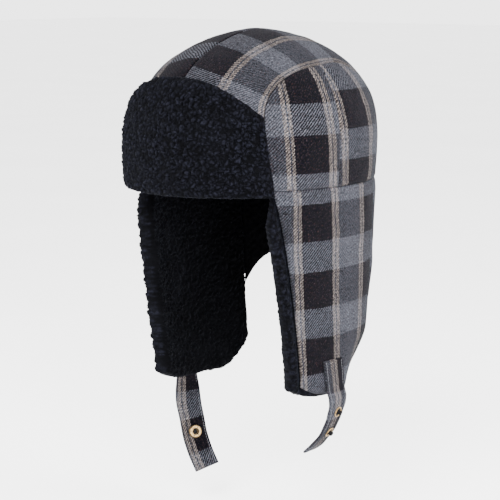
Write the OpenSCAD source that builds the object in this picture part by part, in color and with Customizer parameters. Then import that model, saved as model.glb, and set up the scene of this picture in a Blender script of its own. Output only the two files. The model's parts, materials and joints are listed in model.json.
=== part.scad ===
// Trapper hat with a folded-up front visor, two hanging ear flaps and snap straps.
// Millimetres. The origin is the centre of the head opening, in the plane of the brow seam.
// The visor is at -Y, the wearer's left is +X and +Z is up.

/* [Crown] */
// Half width of the crown at the brow seam
half_width = 95; // [88:1:102]
// Half length of the crown at the brow seam, forehead to nape
half_length = 113; // [105:1:120]
// Height of the crown above the brow seam
crown_height = 129; // [120:1:140]
// Height where the top panel's side seams turn from upright to lengthwise
seam_corner_height = 62; // [50:1:70]
// Height of the top panel's side seams above the ears
seam_ridge_height = 101; // [90:1:106]

/* [Layers] */
// Thickness of the woven shell
shell_t = 1.4; // [1:0.1:2]
// Thickness of the wadding behind the shell
wadding_t = 4; // [2.5:0.5:5]
// Thickness of the pile lining
lining_t = 4.5; // [3:0.5:6]
// Clearance between two layers
layer_gap = 0.3; // [0.2:0.05:0.4]

/* [Visor] */
// Height of the visor at its middle
visor_height = 89; // [80:1:94]
// How much lower the visor's top corners are than its middle
visor_corner_drop = 25; // [10:1:30]
// Angle round the head from the middle of the visor to its side edge
visor_half_angle = 50.5; // [45:0.5:52]
// Thickness of the visor's pile at its middle
visor_pile_t = 9; // [6:0.5:10]

/* [Ear flaps] */
// Length of an ear flap below the brow seam
flap_length = 179; // [165:1:190]
// Thickness of an ear flap's pile lining
flap_pile_t = 8; // [5:0.5:9]
// Height of the nape panel at the middle of the back
nape_height = 74; // [45:1:70]

/* [Straps] */
// Width of a strap
strap_width = 24; // [20:1:26]
// Thickness of a strap, two layers of shell cloth
strap_t = 2.4; // [2:0.1:3]
// Length of a strap's end that is sewn onto the ear flap
strap_tab_length = 32; // [24:1:34]

/* [Snaps] */
// Radius of the snap socket's rim
socket_r = 6; // [5.5:0.1:6.5]
// Radius of the hole in the snap socket
socket_hole_r = 2.1; // [2:0.05:2.2]
// Radius of a snap stud's post
stud_r = 2; // [1.8:0.05:2]

/* [Hidden] */

// The crown is a superellipse of revolution, stretched to an oval, with a slight fullness.
rise_power = 3.9;
round_power = 1.5;
fullness = 0.027;
apex_share = 0.9999;
disc_centre = 0.001;

// The skirt below the brow seam tapers, a little less behind the ears.
taper_depth = 125;
side_taper = 0.067;
back_taper = -0.013;

// The top panel meets the side panels between these angles round the head.
seam_front = 48;
seam_back = 132;
side_seam = 86;
seam_mid = (seam_front + seam_back) / 2;
seam_tilt = 5;
upright_steps = 4;
arch_steps = 10;
arch_front_steps = 5;
top_columns = 4;

// Layers, as distances outward from the shell's outer face.
shell_out = 0;
shell_in = -shell_t;
wadding_out = shell_in - layer_gap;
wadding_in = wadding_out - wadding_t;
lining_out = wadding_in - layer_gap;
lining_in = lining_out - lining_t;

// The visor stands on the outside of the crown.
visor_bottom = -4;
visor_taper_angle = 5;
visor_corner_power = 2.5;
puff_peak = 0.3;
visor_shell_in = 1.2;
visor_shell_out = visor_shell_in + shell_t;
visor_wadding_in = visor_shell_out + layer_gap;
visor_wadding_t = 3;
visor_wadding_out = visor_wadding_in + visor_wadding_t;
visor_pile_in = visor_wadding_out + layer_gap;
visor_pile_out = visor_pile_in + visor_pile_t;
visor_pile_edge_t = 3.5;
visor_rows = 7;
visor_columns = 4;
crease_angle = 22;
crease_gap = 0.7;
crease_bevel = 0.5;

// Ear flap outline.
flap_front = 51.4;
flap_front_sweep = 17;
flap_front_depth = 161;
flap_split_y = 61.5;
split_gap = 1;
flap_top = -3;
flap_inner_top = -4.5;
flap_front_round = 11;
flap_back_round = 28;
flap_front_round_share = 0.5;
flap_back_round_share = 0.3;
flap_back_round_power = 1.9;
flap_wadding_t = 3;
flap_lining_out = shell_in - 2 * layer_gap - flap_wadding_t;
flap_lining_in = flap_lining_out - flap_pile_t;
pile_overhang_angle = 6;
pile_overhang_depth = 30;
pile_overhang_bottom = 3;
flap_columns = 9;
flap_rows = 10;
nape_columns = 10;
nape_rows = 4;
nape_corner_drop = 34;

// Straps, top to bottom.
strap_left_path = [
    [86.5, 3, -181], [85.5, 3, -192], [81, 2.7, -204.5], [75, 2.2, -215], [67, 2, -224.5], [58.5, 1.7, -232.5]
];
strap_right_path = [
    [-87, 3, -182], [-86.5, 3, -196], [-85, 3, -212], [-81.5, 3.6, -228], [-78.2, 4.2, -243],
    [-72.8, 5.2, -258], [-64.5, 6.2, -273.5]
];
strap_left_twist = -8;
strap_right_twist = 30;
strap_steps = 16;
along_step = 0.01;
twist_share = 0.33;
tab_rows = 3;
tab_top = -147;
tab_lift = 0.4;
tab_angle_left = 90;
tab_angle_right = 91;

// Snap parts.
snap_lift = 0.5;
socket_t = 3;
socket_depth = 2.4;
spring_wire_r = 0.25;
spring_seat = 0.45;
spring_facets = 24;
groove_width = 0.8;
groove_depth = 0.9;
cut_margin = 1;
stud_post_t = 3;
stud_base_r = 4.6;
stud_base_t = 0.8;
snap_back_r = 5.2;
snap_back_t = 1;
snap_facets = 48;
stud_upper_at = 0.24;
stud_lower_at = 0.56;
socket_at = 0.64;

// Label.
label_width = 28;
label_height = 38;
label_t = 0.6;
label_gap = 2.6;
label_bottom = 4;

plaid = [0.30, 0.30, 0.33];
plaid_dark = [0.20, 0.19, 0.22];
plaid_light = [0.42, 0.42, 0.45];
fill_white = [0.85, 0.85, 0.83];
pile_black = [0.07, 0.07, 0.09];
label_white = [0.80, 0.80, 0.78];
snap_gold = [0.80, 0.68, 0.47];

function unit(v) = v / norm(v);
function mix(a, b, t) = a + (b - a) * t;
function clamp01(t) = max(0, min(1, t));

// Share of the brow oval that the crown has at height z, and its inward slope there.
function crown_share(z) = let (t = min(z / crown_height, apex_share))
    pow(1 - pow(t, rise_power), 1 / round_power) * (1 + fullness * sin(180 * t));
function crown_slope(z) = let (t = min(z / crown_height, apex_share))
    pow(1 - pow(t, rise_power), 2 / round_power - 1)
    * rise_power * pow(t, rise_power - 1) / round_power / crown_height;
function skirt_share(angle, z) =
    1 - (side_taper + back_taper * clamp01((abs(angle) - 70) / 60)) * pow(-z / taper_depth, 1.5);

// A point of the hat, out from the shell's outer face by off. Angle 0 is the forehead, 90 the left ear.
function hat_point(angle, z, off) =
    let (
        share = z > 0 ? crown_share(z) : skirt_share(angle, z),
        slope = z > 0 ? crown_slope(z) : 0,
        x = half_width * share * sin(angle),
        y = -half_length * share * cos(angle),
        n = z >= crown_height * apex_share
            ? [0, 0, 1]
            : unit([x / pow(half_width, 2), y / pow(half_length, 2), slope])
    )
    [x, y, z] + off * n;

// The crown seen from above is laid on a unit disc, so that its panels can be divided evenly.
function disc_radius(z) = 1 - pow(asin(pow(min(z / crown_height, 1), rise_power / 2)) / 90, 2 / 3);
function disc_height(r) = crown_height * pow(sin(90 * pow(max(0, 1 - r), 1.5)), 2 / rise_power);
function on_disc(angle, z) = disc_radius(z) * [sin(angle), -cos(angle)];
function from_disc(d, off) =
    norm(d) < disc_centre
        ? hat_point(0, crown_height, off)
        : hat_point(atan2(d[0], -d[1]), disc_height(norm(d)), off);

// The seam between the top panel and the left side panels, from the forehead to the nape.
function ridge_height(angle) = let (s = (angle - seam_mid) / (seam_back - seam_mid))
    mix(seam_corner_height, seam_ridge_height, sqrt(max(0, 1 - pow(abs(s), 3))))
    + seam_tilt * s * (1 - s * s);
function arch_angle(i) = i <= arch_front_steps
    ? mix(seam_front, side_seam, i / arch_front_steps)
    : mix(side_seam, seam_back, (i - arch_front_steps) / (arch_steps - arch_front_steps));
seam_path = concat(
    [for (i = [0 : upright_steps - 1]) [seam_front, seam_corner_height * i / upright_steps]],
    [for (i = [0 : arch_steps]) [arch_angle(i), ridge_height(arch_angle(i))]],
    [for (i = [upright_steps - 1 : -1 : 0]) [seam_back, seam_corner_height * i / upright_steps]]
);
top_rows = len(seam_path) - 1;

// The left top panel is a patch between its centre seam, column 0, and its side seam, corrected at
// both ends so that they follow the brow.
function end_bulge(angle, v) =
    [sin(v * angle), -cos(v * angle)] - mix([0, -1], [sin(angle), -cos(angle)], v);
function top_disc(i, v) =
    let (s = i / top_rows, edge = on_disc(seam_path[i][0], seam_path[i][1]), bulge = end_bulge(seam_front, v))
    mix([0, 2 * s - 1], edge, v) + (1 - s) * bulge + s * [bulge[0], -bulge[1]];
function top_point(i, j, off) =
    from_disc(top_disc(i, j / top_columns), off);

// A closed sheet between two equal grids of points: the outer one and the inner one.
module sheet(outer, inner) {
    rows = len(outer);
    columns = len(outer[0]);
    count = rows * columns;
    points = concat([for (row = outer) for (p = row) p], [for (row = inner) for (p = row) p]);
    function at(i, j, layer) = layer * count + i * columns + j;
    function quad(a, b, c, d) = [[a, b, c], [a, c, d]];
    faces = concat(
        [for (i = [0 : rows - 2]) for (j = [0 : columns - 2])
            each quad(at(i, j, 0), at(i, j + 1, 0), at(i + 1, j + 1, 0), at(i + 1, j, 0))],
        [for (i = [0 : rows - 2]) for (j = [0 : columns - 2])
            each [for (f = quad(at(i, j, 1), at(i, j + 1, 1), at(i + 1, j + 1, 1), at(i + 1, j, 1)))
                [f[2], f[1], f[0]]]],
        [for (i = [0 : rows - 2]) each quad(at(i, 0, 0), at(i + 1, 0, 0), at(i + 1, 0, 1), at(i, 0, 1))],
        [for (i = [0 : rows - 2]) each quad(at(i + 1, columns - 1, 0), at(i, columns - 1, 0),
            at(i, columns - 1, 1), at(i + 1, columns - 1, 1))],
        [for (j = [0 : columns - 2]) each quad(at(0, j + 1, 0), at(0, j, 0), at(0, j, 1), at(0, j + 1, 1))],
        [for (j = [0 : columns - 2]) each quad(at(rows - 1, j, 0), at(rows - 1, j + 1, 0),
            at(rows - 1, j + 1, 1), at(rows - 1, j, 1))]
    );
    polyhedron(points, faces);
}

// Crown pieces, each between two depths.
function top_grid(off) =
    [for (i = [0 : top_rows]) [for (j = [top_columns : -1 : 0]) top_point(i, j, off)]];

module top_piece(out, in) {
    sheet(top_grid(out), top_grid(in));
}

function side_grid(first, last, off) =
    [for (k = [0 : upright_steps]) [for (i = [first : last])
        hat_point(arch_angle(i), ridge_height(arch_angle(i)) * k / upright_steps, off)]];

module side_piece(first, last, out, in) {
    sheet(side_grid(first, last, out), side_grid(first, last, in));
}

module crown_top() {
    color(plaid_dark) top_piece(shell_out, shell_in);
}

module crown_side_front() {
    color(plaid) side_piece(0, arch_front_steps, shell_out, shell_in);
}

module crown_side_back() {
    color(plaid_light) side_piece(arch_front_steps, arch_steps, shell_out, shell_in);
}

module wadding_top() {
    color(fill_white) top_piece(wadding_out, wadding_in);
}

module wadding_side() {
    color(fill_white) side_piece(0, arch_steps, wadding_out, wadding_in);
}

module lining_top() {
    color(pile_black) top_piece(lining_out, lining_in);
}

module lining_side() {
    color(pile_black) side_piece(0, arch_steps, lining_out, lining_in);
}

// The nape panel hangs between the two ear flaps.
function split_angle(z, off, y) = acos(-y / (half_length * skirt_share(seam_back, z) + off));
function nape_bottom(s) = -nape_height - nape_corner_drop * pow(abs(s), 5);
function nape_grid(off) =
    [for (k = [0 : nape_rows]) [for (i = [0 : nape_columns])
        let (
            s = 1 - 2 * i / nape_columns,
            z = nape_bottom(s) * (1 - k / nape_rows),
            half_angle = 180 - split_angle(z, off, flap_split_y + split_gap)
        )
        hat_point(180 - s * half_angle, z, off)]];

module nape_piece(out, in) {
    sheet(nape_grid(out), nape_grid(in));
}

module nape_panel() {
    color(plaid) nape_piece(shell_out, shell_in);
}

module nape_wadding() {
    color(fill_white) nape_piece(wadding_out, wadding_in);
}

module nape_lining() {
    color(pile_black) nape_piece(lining_out, lining_in);
}

module care_label() {
    color(label_white)
        translate([-label_width / 2, half_length + lining_in - label_gap, label_bottom])
            cube([label_width, label_t, label_height]);
}

// The visor is a centre with a wing at each side. Each is beveled at the creases towards the pile,
// so that the wings can turn forward. s runs from -1 at the right edge to 1 at the left edge.
function visor_edge(v) = visor_half_angle - visor_taper_angle * v;
function crease_shift(off) = crease_gap + crease_bevel * max(0, off - visor_shell_in);
function visor_z(angle, v) =
    let (s = min(1, abs(angle) / visor_edge(v)))
    mix(visor_bottom, visor_height - visor_corner_drop * pow(s, visor_corner_power), v);
function visor_puff(angle, v) =
    let (s = min(1, abs(angle) / visor_edge(v)))
    mix(visor_pile_edge_t, visor_pile_t,
        (1 - pow(s, 4)) * (1 - pow(abs((v - puff_peak) / (1 - puff_peak)), 3)));
function visor_off(angle, v, off) = off < visor_pile_out ? off : visor_pile_in + visor_puff(angle, v);
function visor_grid(is_wing, off) =
    [for (k = [0 : visor_rows]) [for (i = [0 : visor_columns])
        let (
            v = k / visor_rows,
            crease = crease_angle - crease_shift(off),
            wing_start = crease_angle + crease_shift(off),
            a = is_wing ? mix(wing_start, visor_edge(v), i / visor_columns)
                        : mix(-crease, crease, i / visor_columns)
        )
        hat_point(a, visor_z(a, v), visor_off(a, v, off))]];

module visor_centre_piece(out, in) {
    sheet(visor_grid(false, out), visor_grid(false, in));
}

module visor_wing_piece(out, in) {
    sheet(visor_grid(true, out), visor_grid(true, in));
}

module visor_shell() {
    color(plaid) visor_centre_piece(visor_shell_out, visor_shell_in);
}

module visor_shell_wing() {
    color(plaid) visor_wing_piece(visor_shell_out, visor_shell_in);
}

module visor_wadding() {
    color(fill_white) visor_centre_piece(visor_wadding_out, visor_wadding_in);
}

module visor_wadding_wing() {
    color(fill_white) visor_wing_piece(visor_wadding_out, visor_wadding_in);
}

module visor_pile() {
    color(pile_black) visor_centre_piece(visor_pile_out, visor_pile_in);
}

module visor_pile_wing() {
    color(pile_black) visor_wing_piece(visor_pile_out, visor_pile_in);
}

// Ear flaps. u runs from the front edge to the back edge, v from the top down.
function flap_bottom(u) = -flap_length
    + flap_front_round * pow(max(0, 1 - u / flap_front_round_share), 3)
    + flap_back_round * pow(max(0, 1 - (1 - u) / flap_back_round_share), flap_back_round_power);
function flap_front_edge(z, over) =
    flap_front + flap_front_sweep * pow(clamp01(-z / flap_front_depth), 0.75)
    - over * pile_overhang_angle * clamp01(-z / pile_overhang_depth);
function flap_grid(top, off, over) =
    [for (k = [0 : flap_rows]) [for (i = [0 : flap_columns])
        let (
            u = i / flap_columns,
            z = mix(flap_bottom(u) - over * pile_overhang_bottom, top, k / flap_rows),
            a = mix(flap_front_edge(z, over), split_angle(z, off, flap_split_y), u)
        )
        hat_point(a, z, off)]];

module flap_piece(top, out, in, over) {
    sheet(flap_grid(top, out, over), flap_grid(top, in, over));
}

module ear_flap_shell() {
    color(plaid) flap_piece(flap_top, shell_out, shell_in, 0);
}

module ear_flap_wadding() {
    color(fill_white)
        flap_piece(flap_inner_top, wadding_out, wadding_out - flap_wadding_t, 0);
}

module ear_flap_lining() {
    color(pile_black) flap_piece(flap_inner_top, flap_lining_out, flap_lining_in, 1);
}

// Straps.
function smooth_point(path, t) =
    let (
        last = len(path) - 1,
        i = min(last - 1, floor(t * last)),
        f = t * last - i,
        p1 = path[i],
        p2 = path[i + 1],
        p0 = i > 0 ? path[i - 1] : 2 * p1 - p2,
        p3 = i < last - 1 ? path[i + 2] : 2 * p2 - p1
    )
    (2 * p1 + (p2 - p0) * f + (2 * p0 - 5 * p1 + 4 * p2 - p3) * f * f
        + (3 * p1 - p0 - 3 * p2 + p3) * f * f * f) / 2;
function strap_along(path, t) =
    unit(smooth_point(path, min(1, t + along_step)) - smooth_point(path, max(0, t - along_step)));
// Directions on a strap at t: across it and out of its outer face.
function strap_across(path, t, twist) =
    let (
        a = twist * clamp01(t / twist_share),
        rough = [-sin(a), -cos(a), 0],
        along = strap_along(path, t)
    )
    unit(rough - (rough * along) * along);
function strap_out(path, t, twist, side) =
    side * unit(cross(strap_across(path, t, twist), strap_along(path, t)));
function strap_row(path, t, twist, side, off) =
    [for (w = [-0.5, 0.5]) smooth_point(path, t) + w * strap_width * strap_across(path, t, twist)
        + off * strap_out(path, t, twist, side)];

function strap_grid(path, twist, side, off) =
    [for (k = [0 : strap_steps]) strap_row(path, k / strap_steps, twist, side, side * off)];

module strap(path, twist, side) {
    sheet(strap_grid(path, twist, side, strap_t / 2), strap_grid(path, twist, side, -strap_t / 2));
}

module strap_tab(angle) {
    function tab_row(z, off) =
        let (half_angle = asin(strap_width / 2 / (half_length * skirt_share(angle, z))))
        [for (s = [-1, 0, 1]) hat_point(angle + s * half_angle, z, off)];
    function tab_grid(off) =
        [for (k = [0 : tab_rows]) tab_row(tab_top - strap_tab_length * (1 - k / tab_rows), off)];
    sheet(tab_grid(tab_lift + strap_t), tab_grid(tab_lift));
}

module strap_tab_left() {
    color(plaid_light) strap_tab(tab_angle_left);
}

module strap_tab_right() {
    color(plaid_light) mirror([1, 0, 0]) strap_tab(tab_angle_right);
}

module strap_left() {
    color(plaid_light) strap(strap_left_path, strap_left_twist, 1);
}

module strap_right() {
    color(plaid_light) strap(strap_right_path, strap_right_twist, -1);
}

// Places a snap part on a strap's face. Its own +Z points away from the strap.
module on_strap(path, t, twist, side, face) {
    p = smooth_point(path, t) + face * (strap_t / 2 + snap_lift) * strap_out(path, t, twist, side);
    z = face * strap_out(path, t, twist, side);
    x = strap_along(path, t);
    y = cross(z, x);
    multmatrix([
        [x[0], y[0], z[0], p[0]],
        [x[1], y[1], z[1], p[1]],
        [x[2], y[2], z[2], p[2]],
        [0, 0, 0, 1]
    ]) children();
}

module stud() {
    cylinder(h = stud_base_t, r = stud_base_r, $fn = snap_facets);
    cylinder(h = stud_base_t + stud_post_t, r = stud_r, $fn = snap_facets);
}

module snap_back() {
    cylinder(h = snap_back_t, r = snap_back_r, $fn = snap_facets);
}

module stud_upper() {
    color(snap_gold) on_strap(strap_left_path, stud_upper_at, strap_left_twist, 1, 1) stud();
}

module stud_lower() {
    color(snap_gold) on_strap(strap_left_path, stud_lower_at, strap_left_twist, 1, 1) stud();
}

module stud_backs() {
    color(snap_gold)
        for (t = [stud_upper_at, stud_lower_at]) on_strap(strap_left_path, t, strap_left_twist, 1, -1) snap_back();
}

module socket_place(face) {
    on_strap(strap_right_path, socket_at, strap_right_twist, -1, face) children();
}

module snap_socket() {
    color(snap_gold) socket_place(-1) difference() {
        cylinder(h = socket_t, r = socket_r, $fn = snap_facets);
        translate([0, 0, socket_t - socket_depth])
            cylinder(h = socket_depth + cut_margin, r = socket_hole_r, $fn = snap_facets);
        translate([0, 0, socket_t - socket_depth])
            cylinder(h = groove_width, r = socket_hole_r + groove_depth, $fn = snap_facets);
    }
}

module socket_spring() {
    color(snap_gold) socket_place(-1)
        translate([0, 0, socket_t - socket_depth + groove_width / 2])
            rotate_extrude($fn = snap_facets)
                translate([socket_hole_r + spring_seat, 0]) circle(r = spring_wire_r, $fn = spring_facets);
}

module socket_back() {
    color(snap_gold) socket_place(1) snap_back();
}

crown_top();  // crown_top_left
mirror([1, 0, 0]) crown_top();  // crown_top_right
crown_side_front();  // crown_side_front_left
mirror([1, 0, 0]) crown_side_front();  // crown_side_front_right
crown_side_back();  // crown_side_back_left
mirror([1, 0, 0]) crown_side_back();  // crown_side_back_right
wadding_top();  // wadding_top_left
mirror([1, 0, 0]) wadding_top();  // wadding_top_right
wadding_side();  // wadding_side_left
mirror([1, 0, 0]) wadding_side();  // wadding_side_right
lining_top();  // lining_top_left
mirror([1, 0, 0]) lining_top();  // lining_top_right
lining_side();  // lining_side_left
mirror([1, 0, 0]) lining_side();  // lining_side_right
nape_panel();
nape_wadding();
nape_lining();
care_label();
visor_shell();
visor_shell_wing();  // visor_shell_left
mirror([1, 0, 0]) visor_shell_wing();  // visor_shell_right
visor_wadding();
visor_wadding_wing();  // visor_wadding_left
mirror([1, 0, 0]) visor_wadding_wing();  // visor_wadding_right
visor_pile();
visor_pile_wing();  // visor_pile_left
mirror([1, 0, 0]) visor_pile_wing();  // visor_pile_right
ear_flap_shell();  // ear_flap_shell_left
mirror([1, 0, 0]) ear_flap_shell();  // ear_flap_shell_right
ear_flap_wadding();  // ear_flap_wadding_left
mirror([1, 0, 0]) ear_flap_wadding();  // ear_flap_wadding_right
ear_flap_lining();  // ear_flap_lining_left
mirror([1, 0, 0]) ear_flap_lining();  // ear_flap_lining_right
strap_tab_left();
strap_tab_right();
strap_left();
strap_right();
stud_upper();
stud_lower();
stud_backs();
snap_socket();
socket_spring();
socket_back();
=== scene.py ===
"""Trapper hat: the looks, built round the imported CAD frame. Metres, in the row frame."""
import json
import math

import bpy
import numpy as np
from mathutils import Matrix, Vector, noise


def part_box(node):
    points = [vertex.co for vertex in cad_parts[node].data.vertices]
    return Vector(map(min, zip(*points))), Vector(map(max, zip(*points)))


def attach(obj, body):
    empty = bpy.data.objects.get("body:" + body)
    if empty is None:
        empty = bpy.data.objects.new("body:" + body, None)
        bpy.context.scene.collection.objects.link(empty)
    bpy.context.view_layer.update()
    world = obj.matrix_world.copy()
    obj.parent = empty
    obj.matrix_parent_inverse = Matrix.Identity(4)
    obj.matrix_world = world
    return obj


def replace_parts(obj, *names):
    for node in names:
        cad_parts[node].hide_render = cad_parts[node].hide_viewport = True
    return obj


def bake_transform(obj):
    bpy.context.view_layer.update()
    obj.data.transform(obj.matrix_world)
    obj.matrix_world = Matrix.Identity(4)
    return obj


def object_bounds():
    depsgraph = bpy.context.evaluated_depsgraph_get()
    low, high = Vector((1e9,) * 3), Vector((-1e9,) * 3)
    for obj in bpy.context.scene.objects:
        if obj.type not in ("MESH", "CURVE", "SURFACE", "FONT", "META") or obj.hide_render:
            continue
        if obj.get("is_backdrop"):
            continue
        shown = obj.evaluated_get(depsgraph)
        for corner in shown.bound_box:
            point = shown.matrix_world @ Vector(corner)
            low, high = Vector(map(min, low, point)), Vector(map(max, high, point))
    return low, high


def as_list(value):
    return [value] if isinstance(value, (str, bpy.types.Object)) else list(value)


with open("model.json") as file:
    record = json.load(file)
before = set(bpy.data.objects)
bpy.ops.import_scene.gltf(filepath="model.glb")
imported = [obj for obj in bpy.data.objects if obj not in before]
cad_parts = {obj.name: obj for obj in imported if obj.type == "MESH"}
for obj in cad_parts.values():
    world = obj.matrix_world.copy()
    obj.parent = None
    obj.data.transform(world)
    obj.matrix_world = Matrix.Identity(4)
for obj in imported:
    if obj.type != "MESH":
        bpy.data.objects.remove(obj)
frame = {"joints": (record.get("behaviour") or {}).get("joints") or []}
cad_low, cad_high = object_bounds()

scene = bpy.context.scene
MM = 0.001

# ---------------------------------------------------------------- camera, light and floor
AZIMUTH, ELEVATION = math.radians(40), math.radians(9)
BACK = Vector((math.sin(AZIMUTH) * math.cos(ELEVATION), -math.cos(AZIMUTH) * math.cos(ELEVATION), math.sin(ELEVATION)))
RIGHT = Vector((math.cos(AZIMUTH), math.sin(AZIMUTH), 0))
UP = BACK.cross(RIGHT)
CAMERA_DISTANCE = 1.5
FIELD_WIDTH = 0.436
SENSOR = 36
LOOK_AT = Vector((0, 0, -0.060)) - RIGHT * 0.0067 - UP * 0.0035

camera_data = bpy.data.cameras.new("camera")
camera_data.sensor_width = SENSOR
camera_data.lens = SENSOR * CAMERA_DISTANCE / FIELD_WIDTH
camera = bpy.data.objects.new("camera", camera_data)
scene.collection.objects.link(camera)
camera.location = LOOK_AT + BACK * CAMERA_DISTANCE
camera.rotation_mode = "QUATERNION"
camera.rotation_quaternion = (-BACK).to_track_quat("-Z", "Y")
scene.camera = camera

world = bpy.data.worlds.new("studio")
world.use_nodes = True
world.node_tree.nodes["Background"].inputs["Color"].default_value = (1, 1, 1, 1)
world.node_tree.nodes["Background"].inputs["Strength"].default_value = 3.6
scene.world = world


def area_light(name, azimuth, elevation, distance, size, watts):
    a, e = math.radians(azimuth), math.radians(elevation)
    toward = Vector((math.sin(a) * math.cos(e), -math.cos(a) * math.cos(e), math.sin(e)))
    data = bpy.data.lights.new(name, "AREA")
    data.shape, data.size, data.energy = "DISK", size, watts
    light = bpy.data.objects.new(name, data)
    scene.collection.objects.link(light)
    light.visible_camera = False
    light.location = LOOK_AT + toward * distance
    light.rotation_mode = "QUATERNION"
    light.rotation_quaternion = toward.to_track_quat("Z", "Y")


area_light("key", azimuth=20, elevation=42, distance=1.9, size=0.9, watts=66)
area_light("side", azimuth=105, elevation=24, distance=2.0, size=1.0, watts=72)
area_light("inside", azimuth=58, elevation=9, distance=1.7, size=0.8, watts=80)
area_light("left", azimuth=-45, elevation=10, distance=2.0, size=1.0, watts=85)


# ---------------------------------------------------------------- materials
class Graph:
    """Builds one material's node tree. Arguments are numbers, colours or the outputs of earlier nodes."""

    def __init__(self, name):
        self.material = bpy.data.materials.new(name)
        self.material.use_nodes = True
        self.tree = self.material.node_tree
        self.tree.nodes.clear()
        self.shader = self.tree.nodes.new("ShaderNodeBsdfPrincipled")
        output = self.tree.nodes.new("ShaderNodeOutputMaterial")
        self.tree.links.new(self.shader.outputs["BSDF"], output.inputs["Surface"])

    def connect(self, socket, value):
        if isinstance(value, bpy.types.NodeSocket):
            self.tree.links.new(value, socket)
        elif isinstance(value, tuple) and len(value) == 3 and socket.type == "RGBA":
            socket.default_value = (*value, 1)
        else:
            socket.default_value = value

    def math(self, operation, *values):
        node = self.tree.nodes.new("ShaderNodeMath")
        node.operation = operation
        for socket, value in zip(node.inputs, values):
            self.connect(socket, value)
        return node.outputs[0]

    def mix(self, factor, a, b, kind="MIX"):
        node = self.tree.nodes.new("ShaderNodeMix")
        node.data_type, node.blend_type = "RGBA", kind
        self.connect(node.inputs["Factor"], factor)
        self.connect(node.inputs[6], a)
        self.connect(node.inputs[7], b)
        return node.outputs[2]

    def span(self, value, low, high, to_low=0.0, to_high=1.0):
        node = self.tree.nodes.new("ShaderNodeMapRange")
        for socket, v in zip(node.inputs, (value, low, high, to_low, to_high)):
            self.connect(socket, v)
        return node.outputs[0]

    def place(self, kind="Object"):
        return self.tree.nodes.new("ShaderNodeTexCoord").outputs[kind]

    def split(self, vector):
        node = self.tree.nodes.new("ShaderNodeSeparateXYZ")
        self.connect(node.inputs[0], vector)
        return node.outputs[0], node.outputs[1], node.outputs[2]

    def join(self, x, y, z=0.0):
        node = self.tree.nodes.new("ShaderNodeCombineXYZ")
        for socket, value in zip(node.inputs, (x, y, z)):
            self.connect(socket, value)
        return node.outputs[0]

    def noise(self, vector, per_metre, detail=2.0, roughness=0.5):
        node = self.tree.nodes.new("ShaderNodeTexNoise")
        self.connect(node.inputs["Vector"], vector)
        self.connect(node.inputs["Scale"], per_metre)
        self.connect(node.inputs["Detail"], detail)
        self.connect(node.inputs["Roughness"], roughness)
        return node.outputs["Fac"]

    def random(self, value):
        node = self.tree.nodes.new("ShaderNodeTexWhiteNoise")
        node.noise_dimensions = "1D"
        self.connect(node.inputs["W"], value)
        return node.outputs["Value"]

    def steps(self, value, colours):
        """A colour ramp that jumps: colours is [(start, colour), ...] with starts from 0 to 1."""
        node = self.tree.nodes.new("ShaderNodeValToRGB")
        node.color_ramp.interpolation = "CONSTANT"
        elements = node.color_ramp.elements
        while len(elements) < len(colours):
            elements.new(0.5)
        for element, (start, colour) in zip(elements, colours):
            element.position = start
            element.color = (*colour, 1)
        self.connect(node.inputs[0], value)
        return node.outputs[0]

    def attribute(self, name):
        node = self.tree.nodes.new("ShaderNodeAttribute")
        node.attribute_name = name
        return node.outputs["Fac"]

    def bump(self, height, distance, strength=1.0, normal=None):
        node = self.tree.nodes.new("ShaderNodeBump")
        self.connect(node.inputs["Height"], height)
        node.inputs["Distance"].default_value = distance
        node.inputs["Strength"].default_value = strength
        if normal is not None:
            self.connect(node.inputs["Normal"], normal)
        return node.outputs[0]

    def finish(self, **sockets):
        for name, value in sockets.items():
            self.connect(self.shader.inputs[name.replace("_", " ")], value)
        return self.material


# The plaid repeats over these lengths of cloth, and each thread is THREAD wide. Its lines stray by DRIFT over
# centimetres and by FUZZ over a thread or two.
THREAD = 0.68 * MM
COLUMN_REPEAT = 79 * MM
BAND_REPEAT = 57 * MM
BLACK_COLUMN = 31 * MM
STRIPE = 8 * MM
BLACK_BAND = 31 * MM
DRIFT, FUZZ = 2.2 * MM, 1.6 * MM
PAIR_START, PAIR_END = 0.40, 0.56
THREAD_BLACK = (0.0002, 0.0001, 0.0008)
THREAD_GREY = (0.0215, 0.0225, 0.0275)
THREAD_BEIGE = (0.086, 0.073, 0.067)
THREAD_RUST = (0.036, 0.017, 0.015)


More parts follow.
